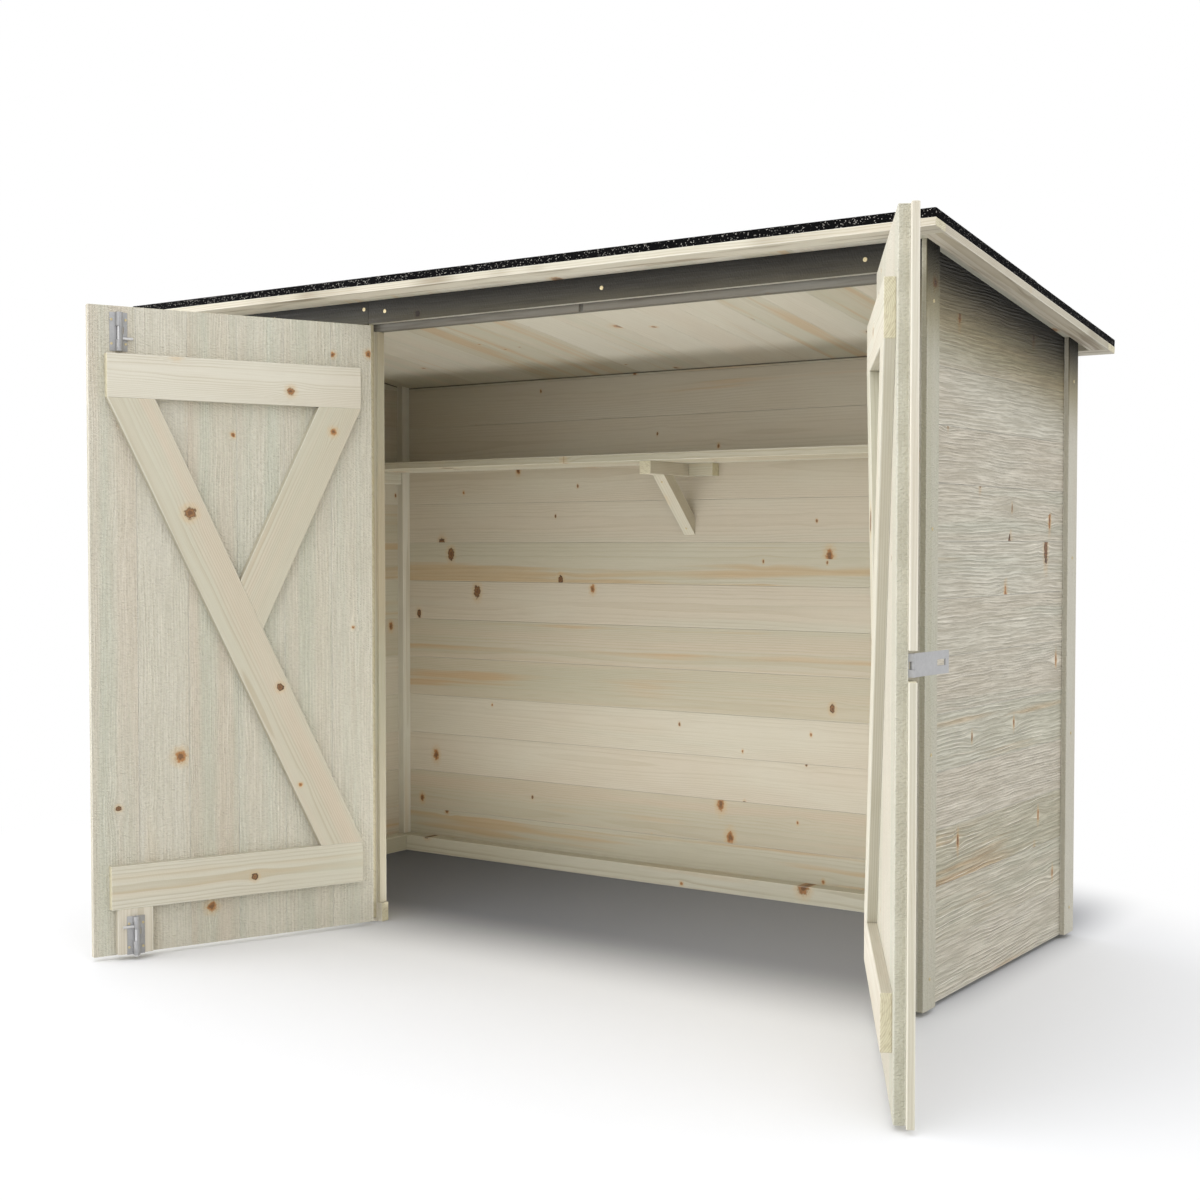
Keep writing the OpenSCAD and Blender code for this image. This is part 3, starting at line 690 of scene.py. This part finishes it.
def felt():
    """Black bitumen felt with fine mineral grit."""
    finish = Finish("mineral_felt")
    place = finish.node("TexCoord", {}, {}, 3)
    grit = finish.node("TexVoronoi", {}, {"Vector": place, "Scale": 420.0}, 0)
    lot = finish.split(finish.node("TexVoronoi", {}, {"Vector": place, "Scale": 420.0}, 1))[0]
    spark = grit.fade(0.5, 0.25) * lot.fade(0.78, 0.92)
    patch = finish.node("TexNoise", {}, {"Vector": place, "Scale": 9.0, "Detail": 4.0})
    base = finish.mix(patch, shade(4, 4, 5), shade(12, 12, 13))
    base = finish.mix(spark * 0.9, base, shade(196, 192, 184))
    finish.gloss(base, spark * -0.3 + 0.9)
    finish.shader.inputs["Specular IOR Level"].default_value = 0.06
    finish.relief(grit.fade(0.5, 0.1), 0.0006)
    return finish.material


def zinc(name, bright=1.0, metallic=0.4):
    """Zinc plated steel: faint spangle, fine drawing lines, duller where it is handled."""
    finish = Finish(name)
    place = finish.node("TexCoord", {}, {}, 3)
    spangle = finish.split(finish.node("TexVoronoi", {}, {"Vector": place, "Scale": 260.0}, 1))[0]
    cloud = finish.node("TexNoise", {}, {"Vector": place, "Scale": 40.0, "Detail": 3.0})
    drawn = finish.node("Mapping", {}, {"Vector": place, "Scale": (30.0, 30.0, 1800.0)})
    lines = finish.node("TexNoise", {}, {"Vector": drawn, "Scale": 1.0, "Detail": 2.0})
    dark = tuple(v * bright for v in shade(172, 172, 173)[:3]) + (1,)
    pale = tuple(v * bright for v in shade(204, 204, 205)[:3]) + (1,)
    base = finish.mix(cloud * 0.5 + spangle * 0.3 + lines * 0.2, dark, pale)
    finish.gloss(base, spangle * 0.08 + cloud * 0.14 + 0.36, metallic)
    finish.relief(lines, 0.00005)
    return finish.material


def brass():
    """Yellow passivated screws."""
    finish = Finish("yellow_zinc")
    place = finish.node("TexCoord", {}, {}, 3)
    cloud = finish.node("TexNoise", {}, {"Vector": place, "Scale": 300.0, "Detail": 2.0})
    base = finish.mix(cloud, shade(190, 172, 128), shade(212, 200, 164))
    finish.gloss(base, cloud * 0.2 + 0.3, 0.4)
    return finish.material


# the walls, lintel, stop beam and trims get painted shade under the roof's overhang
WALL = softwood("weathered_wall_board", lines=0.3, ridges=1.9, sawn=0.15, knots=0.27,
                knot_size=(0.8, 2.4), amber=0.45, dusty=0.6, inner=1.0, eaves=0.95)
DOOR = softwood("sawn_door_board", lines=0.15, ridges=0.7, ridge_reach=1.0, sawn=1.9, knots=0.18,
                amber=0.1, ridge_pitch=0.0065, variety=0.15)
# the roof boards (pale 0.15) and the cover strip (pale 0.1) are painted paler: painted light
CEILING = softwood("roof_board", lines=0.3, knots=0.3, amber=0.5, dusty=1.0, pale=0.15)
PLANED = softwood("planed_timber", lines=0.55, knots=0.34, amber=0.2, sawn=0.15, knot_size=(1.3, 1.3))
BATTEN = softwood("batten", lines=0.8, knots=0.3, amber=0.15, sawn=0.2, knot_size=(2.0, 0.7),
                 streaks=0.6)
STRIP = softwood("cover_strip", lines=0.4, knots=0.25, amber=0.1, sawn=0.15, pale=0.1)
FASCIA = softwood("lintel_board", lines=0.9, knots=0.3, amber=0.0, stain_and_shade=(242.403, 247.35, 255),
                  sawn=0.8, streaks=0.4, eaves=0.95)
# the stop beam's grey of 142.8 is painted shade: it is darkened as if it stood in the shade behind the
# lintel
BEAM = softwood("stop_beam_timber", lines=0.6, knots=0.2, sawn=0.3, streaks=0.4,
                stain_and_shade=(142.8, 142.8, 142.8), eaves=0.5)
TRIM = softwood("trim_board", lines=0.2, knots=0.25, amber=0.1, sawn=1.6,
                stain_and_shade=(239.7, 239.7, 239.7), eaves=0.9)
FELT_FINISH = felt()
ZINC = zinc("zinc_plate", 0.8)
PLATE_ZINC = zinc("zinc_bolt_case", 0.74, 0.6)
BRIGHT_ZINC = zinc("zinc_rod", 1.1, 0.5)
BRASS = brass()


# ---------------------------------------------------------------- building

def walls():
    """Boarded walls whose courses meet at the corners, the header, the lintel and the trims."""
    boards("back_wall", "shelter", WALL, Z, Y, courses(), cuts=[UNDER_ROOF])
    boards("left_wall", "shelter", WALL, Z, -X, courses(), cuts=[UNDER_ROOF])
    boards("right_wall", "shelter", WALL, Z, X, courses(), cuts=[UNDER_ROOF])
    boards("front_panel", "shelter", WALL, Z, -Y, courses())
    for node in ("panel_header", "door_lintel"):
        timbers(node, "shelter", FASCIA, cuts=[UNDER_ROOF])
    timbers("right_stile", "shelter", TRIM, cuts=[UNDER_ROOF])
    timbers("corner_trims", "shelter", TRIM, cuts=[UNDER_ROOF])


def frame_timbers():
    """The beam, posts and sole plates behind the boards."""
    carved("stop_beam", "shelter", BEAM, X, -Y)
    carved("right_door_post", "shelter", PLANED, Z, -Y)
    carved("front_panel_posts", "shelter", PLANED, Z, -Y)
    carved("front_sole_plate", "shelter", PLANED, X, Z)
    timbers("back_corner_posts", "shelter", PLANED, cuts=[UNDER_ROOF])
    timbers("back_sole_plate", "shelter", PLANED)
    timbers("side_sole_plates", "shelter", PLANED)


def roof():
    """Boards that run down the slope, battens under their edges, and the felt."""
    joints = [CEILING_START + CEILING_COURSE * n for n in range(-7, 14)]
    boards("roof_boards", "shelter", CEILING, X, -Z, joints, place=ROOF)
    for node in ("roof_eaves_battens", "roof_verge_battens"):
        timbers(node, "shelter", BATTEN, place=ROOF, outward=-Z)
    felt_sheet()


def felt_sheet():
    """The felt, laid over the boards, lapped half way down and folded over all four edges."""
    low, high = solids("roof_felt", ROOF)[0]
    sheet = block(low, high)
    pick(sheet)
    bpy.ops.object.mode_set(mode="EDIT")
    select_faces(sheet, lambda face: face.normal.z < -0.9)
    bpy.ops.mesh.delete(type="FACE")
    lap = (low.y + high.y) / 2
    for y in (lap, lap + LAP_STEP):
        bpy.ops.mesh.select_all(action="SELECT")
        bpy.ops.mesh.bisect(plane_co=(0, y, 0), plane_no=Y)
    select_faces(sheet, lambda face: face.normal.z > 0.9 and face.calc_center_median().y > lap + LAP_STEP)
    bpy.ops.transform.translate(value=(0, 0, -LAP_DROP))
    bpy.ops.object.mode_set(mode="OBJECT")
    fold = sheet.modifiers.new("fold", "BEVEL")
    fold.width = FELT_FOLD
    fold.segments = 3
    fold.limit_method = "ANGLE"
    fold.angle_limit = math.radians(70)
    bpy.ops.object.modifier_apply(modifier=fold.name)
    thick = sheet.modifiers.new("thickness", "SOLIDIFY")
    thick.thickness = FELT
    thick.offset = -1
    bpy.ops.object.modifier_apply(modifier=thick.name)
    bpy.ops.object.shade_smooth_by_angle(angle=math.radians(35))
    settle(sheet, ROOF)
    fix(sheet, "felt_sheet", "shelter", "mineral_felt", FELT_FINISH, "roof_felt")


def wall_shelf():
    """Two boards on end bearers and a bracket, notched around the corner posts."""
    luck = random.Random("shelf")
    low, high = solids("shelf")[0]
    middle = (low.y + high.y) / 2
    front = timber(low, Vector((high.x, middle - JOINT_GAP / 2, high.z)), luck, outward=Z)
    back = block((low.x, middle + JOINT_GAP / 2, low.z), high)
    for post_low, post_high in solids("back_corner_posts"):
        grown = Vector((NOTCH_ROOM, NOTCH_ROOM, 1))
        notch(back, post_low - grown, post_high + grown)
    ease(back, ARRIS)
    lay_grain(back, X, Z, luck)
    fix(join_up([front, back]), "shelf_boards", "shelter", "softwood", PLANED, "shelf")
    timbers("shelf_bearers", "shelter", PLANED)
    carved("bracket_cleat", "shelter", PLANED, X, -Y)
    carved("bracket_arm", "shelter", PLANED, Y, -Z)
    carved("bracket_brace", "shelter", PLANED, (Y * -1 + Z).normalized(), (Y * -1 - Z).normalized())


# ---------------------------------------------------------------- doors

def brace(node, body, place, lean, cuts):
    """A brace: a timber as wide as a ledge that leans from the middle of the door."""
    luck = random.Random(node)
    ledge_low, ledge_high = solids(body + "_ledges", place)[0]
    upper = solids(body + "_ledges", place)[1]
    low, high = solids(node, place)[0]
    width = ledge_high.z - ledge_low.z
    rise = upper[0].z - ledge_high.z
    run = ledge_high.x - ledge_low.x
    middle = Vector((
        (ledge_low.x + ledge_high.x) / 2,
        (low.y + high.y) / 2,
        (ledge_high.z + upper[0].z) / 2,
    ))
    half = Vector((width / 2, (high.y - low.y) / 2, math.hypot(rise, run) / 2 + width))
    tilt = lean * (math.atan2(run, rise) - math.asin(width / math.hypot(run, rise)))
    turn = Matrix.Rotation(tilt, 4, "Y")
    piece = block(-half, half)
    settle(piece, Matrix.Translation(middle) @ turn)
    for point, normal in [(ledge_high, -Z), (upper[0], Z), *cuts(middle, turn, width)]:
        saw(piece, point, normal)
    ease(piece, ARRIS)
    lay_grain(piece, (turn @ Z).normalized(), Y, luck)
    settle(piece, place)
    return fix(piece, node + "_timber", body, "softwood", PLANED, node)


def door(body, place, hinge_side, rebate=None):
    """A door's boards, ledges and braces. hinge_side is the way along x from the free edge to the pin."""
    low, high = solids(body + "_boards", place)[0]
    hinge_edge = low.x if hinge_side < 0 else high.x
    joints = sorted(hinge_edge - hinge_side * u for u in DOOR_JOINTS)
    boards(body + "_boards", body, DOOR, X, -Y, joints, place=place, rebate=rebate)
    timbers(body + "_ledges", body, PLANED, place=place, outward=Y)
    side = body.split("_")[0]
    brace(side + "_long_brace", body, place, -hinge_side, lambda middle, turn, width: [])

    def over_long_brace(middle, turn, width):
        long_turn = turn.inverted()
        return [(middle - long_turn @ (X * -hinge_side) * width / 2, long_turn @ (X * -hinge_side))]

    brace(side + "_short_brace", body, place, hinge_side, over_long_brace)


def doors():
    """The two doors, the block under the bottom bolt, and the strip that covers the gap."""
    low, high = solids("left_door_boards", LEFT_DOOR)[0]
    rebate = ((high.x - REBATE_WIDTH, low.y - 1, low.z - 1), (high.x + 1, low.y + REBATE_DEPTH, high.z + 1))
    door("left_door", LEFT_DOOR, -1, rebate)
    door("right_door", RIGHT_DOOR, 1)
    timbers("bolt_block", "left_door", PLANED, place=LEFT_DOOR, outward=Y)
    timbers("cover_strips", "right_door", STRIP, place=RIGHT_DOOR, outward=-Y)


# ---------------------------------------------------------------- ironmongery

def metal_parts():
    """The CAD's fittings keep their shape and take a zinc finish."""
    plain = {
        ZINC: ("left_hinge_plates", "right_hinge_plates", "left_hinge_straps", "right_hinge_straps",
               "hasp_staple", "hasp_base", "hasp_leaf"),
        BRIGHT_ZINC: ("top_bolt_rod", "bottom_bolt_rod"),
    }
    for finish, nodes in plain.items():
        for node in nodes:
            for material_slot in frame["nodes"][node].material_slots:
                material_slot.link = "OBJECT"
                material_slot.material = finish


def bolt_case(node, window_low, window_high):
    """A bolt's back plate and barrel. A window in the barrel shows the rod, and a slit the plate's edge."""
    case = merged_copy(node)
    settle(case, LEFT_DOOR.inverted())
    low, high = solids(node, LEFT_DOOR)[0]
    middle = (low + high) / 2
    face = low.y + BOLT_PLATE
    barrel = (high.y - low.y - BOLT_PLATE) * 0.5
    notch(case, (middle.x + 0.0008, face + barrel * 0.35, low.z + window_low),
          (middle.x + 0.02, high.y + 0.001, low.z + window_high))
    slit = low.z + (window_low + window_high) / 2
    notch(case, (middle.x - 0.0118, low.y - 0.001, slit - 0.001),
          (middle.x - 0.0093, face + 0.001, slit + 0.013))
    ease(case, 0.0003)
    bpy.ops.object.shade_smooth_by_angle(angle=math.radians(35))
    settle(case, LEFT_DOOR)
    fix(case, node + "_barrel", "left_door", "zinc_steel", PLATE_ZINC, node)


# Places of the building's screws, in metres
LINTEL_SCREWS_X = (0.908, 0.288, -0.334)
LINTEL_SCREW_Z = 1.457
HEADER_SCREWS_X = (-0.40, -0.70, -0.985)
HEADER_SCREW_Z = 1.466
TRIM_FOOT = 0.07         # height of a trim's lowest screw
FRONT_TRIM_TOP = 1.37    # height of a front trim's highest screw
BACK_TRIM_TOP = 1.28

# Radii of the screws' heads
LINTEL_SCREW = 0.0045
HINGE_SCREW = 0.0038
TRIM_SCREW = 0.0035
BRACKET_SCREW = 0.003
BOLT_SCREW = 0.0028


def screw_head(radius):
    """A low screw head with a recess for the driver, facing up at the origin."""
    bpy.ops.object.select_all(action="DESELECT")
    bpy.ops.mesh.primitive_cylinder_add(vertices=20, radius=radius, depth=0.0014, location=(0, 0, 0.0001))
    bpy.ops.object.transform_apply(location=True, rotation=True, scale=True)
    head = bpy.context.object
    bpy.ops.object.mode_set(mode="EDIT")
    select_faces(head, lambda face: face.normal.z > 0.9)
    bpy.ops.mesh.inset(thickness=radius * 0.22)
    bpy.ops.transform.translate(value=(0, 0, 0.0003))
    bpy.ops.mesh.inset(thickness=radius * 0.35)
    bpy.ops.mesh.extrude_region_move(TRANSFORM_OT_translate={"value": (0, 0, -0.0009)})
    bpy.ops.object.mode_set(mode="OBJECT")
    return head


def screws(name, body, material, radius, spots):
    """Copies of one screw head, each at a point and facing along a normal."""
    pattern = screw_head(radius)
    heads = []
    for point, normal in spots:
        head = pattern.copy()
        head.data = pattern.data.copy()
        bpy.context.scene.collection.objects.link(head)
        settle(head, Matrix.Translation(point) @ normal.to_track_quat("Z", "Y").to_matrix().to_4x4())
        heads.append(head)
    bpy.data.objects.remove(pattern)
    return fix(join_up(heads), name, body, "zinc_steel", material)


def building_screws():
    """Screws of the lintel, the panel's header and the corner trims."""
    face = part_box("door_lintel")[0].y
    spots = [(Vector((x, face, LINTEL_SCREW_Z)), -Y) for x in LINTEL_SCREWS_X]
    spots += [(Vector((x, face, HEADER_SCREW_Z)), -Y) for x in HEADER_SCREWS_X]
    screws("lintel_screws", "shelter", BRASS, LINTEL_SCREW, spots)
    spots = []
    for low, high in solids("corner_trims"):
        side = 1 if low.x > 0 else -1
        x = high.x if side > 0 else low.x
        y = (low.y + high.y) / 2
        top = FRONT_TRIM_TOP if y < MIDDLE.y else BACK_TRIM_TOP
        for part in (0, 1 / 3, 2 / 3, 1):
            spots.append((Vector((x, y, TRIM_FOOT + (top - TRIM_FOOT) * part)), X * side))
    screws("trim_screws", "shelter", BRASS, TRIM_SCREW, spots)


def fitting_screws():
    """Screws of the bolts, the hinges and the bracket."""
    for node in ("top_bolt_case", "bottom_bolt_case"):
        low, high = solids(node, LEFT_DOOR)[0]
        middle = (low + high) / 2
        spots = []
        for x in (-0.0155, 0.0155):
            for z in (-0.026, 0.026):
                point = LEFT_DOOR @ Vector((middle.x + x, low.y + BOLT_PLATE, middle.z + z))
                spots.append((point, LEFT_DOOR.to_3x3() @ Y))
        screws(node.replace("case", "screws"), "left_door", BRASS, BOLT_SCREW, spots)
    for node, place, body in (("left_hinge_straps", LEFT_DOOR, "left_door"),
                              ("right_hinge_straps", RIGHT_DOOR, "right_door")):
        spots = []
        for low, high in solids(node, place):
            pin, free = (low.x, high.x) if abs(low.x) < abs(high.x) else (high.x, low.x)
            for part in (0.35, 0.62, 0.89):
                point = Vector((pin + (free - pin) * part, high.y - HINGE_LEAF, (low.z + high.z) / 2))
                spots.append((place @ point, place.to_3x3() @ -Y))
        screws(node.replace("straps", "screws"), body, BRASS, HINGE_SCREW, spots)
    spots = []
    for node, side in (("left_hinge_plates", -1), ("right_hinge_plates", 1)):
        for low, high in solids(node):
            x = low.x + HINGE_PLATE / 2 if side < 0 else high.x - HINGE_PLATE / 2
            for z in (0.28, 0.72):
                point = Vector((x, high.y - HINGE_LEAF, low.z + (high.z - low.z) * z))
                spots.append((point, -Y))
    screws("hinge_plate_screws", "shelter", BRASS, HINGE_SCREW, spots)
    low, high = solids("bracket_brace")[0]
    spots = []
    for up in (0.018, 0.137):
        spots.append((Vector((0, high.y - up, low.z + up)), (-Y - Z).normalized()))
    screws("bracket_screws", "shelter", BRASS, BRACKET_SCREW, spots)


# ---------------------------------------------------------------- light, floor and camera

HORIZON_LIGHT = 1.07
ZENITH_LIGHT = 1.17
HEART = (0, -0.6, 0.9)                   # the point that the lamps face
CAMERA_SPOT = (2.348, -3.7585, 0.905)
CAMERA_DIP = math.radians(1.86)          # below the horizon
CAMERA_TURN = math.radians(34.91)        # to the left of straight ahead
FOCAL_LENGTH = 50.2                      # millimetres
SENSOR_WIDTH = 36.0


def lamp(name, spot, target, size, energy):
    """A soft rectangular lamp that the camera doesn't see."""
    light = bpy.data.lights.new(name, "AREA")
    light.shape = "RECTANGLE"
    light.size, light.size_y = size
    light.energy = energy
    stand = bpy.data.objects.new(name, light)
    bpy.context.scene.collection.objects.link(stand)
    stand.location = spot
    stand.rotation_euler = (Vector(target) - Vector(spot)).to_track_quat("-Z", "Y").to_euler()
    stand.visible_camera = False


def floor_finish():
    """Pale ground with a painted shadow under the roof, darker towards the left, and plain white far away.
    """
    finish = Finish("pale_floor")
    place = finish.node("TexCoord", {}, {}, 3)
    x, y, _ = finish.split(place)
    behind = (y + 0.4).math("MAXIMUM", 0.0)
    reach = (x * x + (y + 0.4) * (y + 0.4)).math("SQRT") + behind * 0.8
    seen, mirrored, through = (
        finish.node("LightPath", {}, {}, ray)
        for ray in ("Is Camera Ray", "Is Glossy Ray", "Is Transmission Ray"))
    shown = seen.math("MAXIMUM", mirrored).math("MAXIMUM", through)
    away = reach.fade(1.5, 2.25) * shown
    fine = finish.node("Mapping", {}, {"Vector": place, "Scale": (30.0, 30.0, 30.0)})
    grit = finish.node("TexNoise", {}, {"Vector": fine, "Scale": 1.0, "Detail": 2.0}) - 0.5
    ground = finish.mix(grit * 0.1 + 0.5, shade(227, 228, 231), shade(232, 233, 236))
    # painted shadow on the ground under the roof, darker towards the left
    under = x.math("ABSOLUTE").fade(1.12, 0.94) * y.fade(-1.0, -0.55)
    ground = finish.mix(under * x.fade(1.2, -1.2) * 0.25 + under * 0.7, ground, shade(76, 80, 90))
    finish.gloss(finish.mix(shown, shade(212, 212, 212), ground), 0.9)
    white = finish.nodes.new("ShaderNodeEmission")
    blend = finish.nodes.new("ShaderNodeMixShader")
    output = next(n for n in finish.nodes if n.type == "OUTPUT_MATERIAL")
    finish.links.new(away.socket, blend.inputs[0])
    finish.links.new(finish.shader.outputs[0], blend.inputs[1])
    finish.links.new(white.outputs[0], blend.inputs[2])
    finish.links.new(blend.outputs[0], output.inputs[0])
    return finish.material


def floor():
    """A pale floor that keeps the building's shadow."""
    bpy.ops.object.select_all(action="DESELECT")
    bpy.ops.mesh.primitive_plane_add(size=60)
    ground = bpy.context.object
    ground.name = "floor"
    ground.data.materials.append(floor_finish())


def sky():
    """Even light, a little stronger from above, behind a white backdrop."""
    world = bpy.data.worlds.new("studio")
    bpy.context.scene.world = world
    world.use_nodes = True
    nodes, links = world.node_tree.nodes, world.node_tree.links
    lit = nodes["Background"]
    way = nodes.new("ShaderNodeTexCoord")
    height = nodes.new("ShaderNodeSeparateXYZ")
    climb = nodes.new("ShaderNodeMapRange")
    climb.inputs["To Min"].default_value = HORIZON_LIGHT
    climb.inputs["To Max"].default_value = ZENITH_LIGHT
    links.new(way.outputs["Generated"], height.inputs[0])
    links.new(height.outputs[2], climb.inputs["Value"])
    links.new(climb.outputs[0], lit.inputs[1])
    lit.inputs[0].default_value = (1, 1, 1, 1)
    path = nodes.new("ShaderNodeLightPath")
    shown = path.outputs["Is Camera Ray"]
    for ray in ("Is Glossy Ray", "Is Transmission Ray"):
        either = nodes.new("ShaderNodeMath")
        either.operation = "MAXIMUM"
        links.new(shown, either.inputs[0])
        links.new(path.outputs[ray], either.inputs[1])
        shown = either.outputs[0]
    plain = nodes.new("ShaderNodeBackground")
    plain.inputs[0].default_value = (1, 1, 1, 1)
    plain.inputs[1].default_value = 1.0
    blend = nodes.new("ShaderNodeMixShader")
    links.new(shown, blend.inputs[0])
    links.new(lit.outputs[0], blend.inputs[1])
    links.new(plain.outputs[0], blend.inputs[2])
    links.new(blend.outputs[0], nodes["World Output"].inputs[0])


def lamps():
    """Soft light from the front upper left, weaker from the right, and a lift for the ceiling."""
    lamp("left_card", (-5.6, -5.2, 1.4), HEART, (5.0, 2.4), 320)
    lamp("front_card", (1.6, -7.0, 1.5), HEART, (5.0, 2.4), 40)
    lamp("right_card", (6.2, -2.6, 3.2), HEART, (5.0, 4.0), 28)
    lamp("high_card", (1.0, -4.6, 5.6), (0, -0.6, 0.6), (6.0, 4.5), 85)
    lamp("doorway_card", (0.0, -0.54, 0.03), (0.0, -0.54, 1.4), (1.7, 0.4), 7.5)


def view():
    """The camera, and colours as they are written."""
    lens = bpy.data.cameras.new("camera")
    lens.lens = FOCAL_LENGTH
    lens.sensor_width = SENSOR_WIDTH
    camera = bpy.data.objects.new("camera", lens)
    bpy.context.scene.collection.objects.link(camera)
    camera.location = CAMERA_SPOT
    camera.rotation_euler = (math.radians(90) - CAMERA_DIP, 0, CAMERA_TURN)
    bpy.context.scene.camera = camera
    bpy.context.scene.view_settings.view_transform = "Standard"


walls()
frame_timbers()
roof()
wall_shelf()
doors()
metal_parts()
bolt_case("top_bolt_case", *TOP_WINDOW)
bolt_case("bottom_bolt_case", *BOTTOM_WINDOW)
building_screws()
fitting_screws()
floor()
sky()
lamps()
view()
